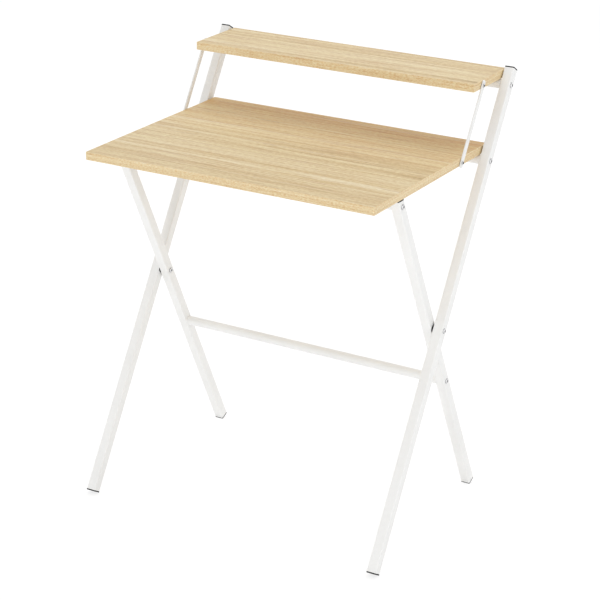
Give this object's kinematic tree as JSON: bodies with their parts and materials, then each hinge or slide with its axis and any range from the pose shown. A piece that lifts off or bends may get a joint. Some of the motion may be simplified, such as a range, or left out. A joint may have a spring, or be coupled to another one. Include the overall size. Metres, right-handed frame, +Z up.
{
  "type": "folding computer desk",
  "caption": "Folding desk with an oak laminate top and a raised rear shelf on a scissor frame of white square tube, with parallel links that fold top and shelf together.",
  "frame": {"origin": "on the floor, under the centre of the desk's bounding box", "axes": "+X across the desk to the right of a user who faces it, +Y away from the user to the shelf's side, +Z up"},
  "size_m": [0.6898, 0.5516, 0.8831],
  "materials": {
    "oak_laminate": "light oak laminate with fine matt grain across the desk",
    "oak_edge": "matt plastic edge band printed as light oak",
    "white_powder_coat": "white powder coat, satin",
    "black_plastic": "black moulded plastic, matt",
    "zinc": "zinc plated steel"
  },
  "bodies": {
    "tall_frame": {"left_tall_leg": "white_powder_coat", "right_tall_leg": "white_powder_coat", "tall_leg_top_caps": "black_plastic", "front_foot_caps": "black_plastic", "desktop_pivot_bar": "white_powder_coat", "shelf_pivot_bar": "white_powder_coat", "pivot_bar_plugs": "zinc", "pivot_bar_bolts": "zinc", "crossing_bolts": "zinc", "crossing_sleeve_nuts": "zinc", "crossing_washers": "black_plastic"},
    "short_frame": {"left_short_leg": "white_powder_coat", "right_short_leg": "white_powder_coat", "short_leg_rest_pads": "black_plastic", "rear_foot_caps": "black_plastic", "upper_crossbar": "white_powder_coat", "lower_crossbar": "white_powder_coat", "crossbar_plugs": "zinc", "crossbar_bolts": "zinc"},
    "desktop": {"desktop_board": "oak_laminate", "desktop_edge_band": "oak_edge", "desktop_hinge_saddles": "black_plastic", "desktop_saddle_screws": "zinc", "desktop_bar_clips": "black_plastic", "bar_clip_screws": "zinc", "lower_link_screws": "zinc", "lower_link_washers": "black_plastic"},
    "shelf": {"shelf_board": "oak_laminate", "shelf_edge_band": "oak_edge", "shelf_hinge_saddles": "black_plastic", "shelf_saddle_screws": "zinc", "upper_link_screws": "zinc", "upper_link_washers": "black_plastic"},
    "right_link": {"right_link": "white_powder_coat"},
    "left_link": {"left_link": "white_powder_coat"}
  },
  "joints": [
    {"name": "desktop_fold", "type": "hinge", "parent": "tall_frame", "child": "desktop", "pos_m": [0, 0.16725, 0.7145], "axis": [-1, 0, 0], "range_deg": [0, 98]},
    {"name": "shelf_fold", "type": "hinge", "parent": "tall_frame", "child": "shelf", "pos_m": [0, 0.24903, 0.84794], "axis": [-1, 0, 0], "range_deg": [0, 98]},
    {"name": "right_link_turn", "type": "hinge", "parent": "desktop", "child": "right_link", "pos_m": [0, 0.08175, 0.7315], "axis": [-1, 0, 0], "range_deg": [-98, 0]},
    {"name": "left_link_turn", "type": "hinge", "parent": "desktop", "child": "left_link", "pos_m": [0, 0.08175, 0.7315], "axis": [-1, 0, 0], "range_deg": [-98, 0]},
    {"name": "leg_fold", "type": "hinge", "parent": "tall_frame", "child": "short_frame", "pos_m": [0, -0.01353, 0.41949], "axis": [-1, 0, 0], "range_deg": [0, 55.5]}
  ],
  "couplings": [
    {"joint": "shelf_fold", "follows": "desktop_fold", "ratio": 1},
    {"joint": "right_link_turn", "follows": "desktop_fold", "ratio": -1},
    {"joint": "left_link_turn", "follows": "desktop_fold", "ratio": -1},
    {"joint": "leg_fold", "follows": "desktop_fold", "ratio": 0.566}
  ]
}
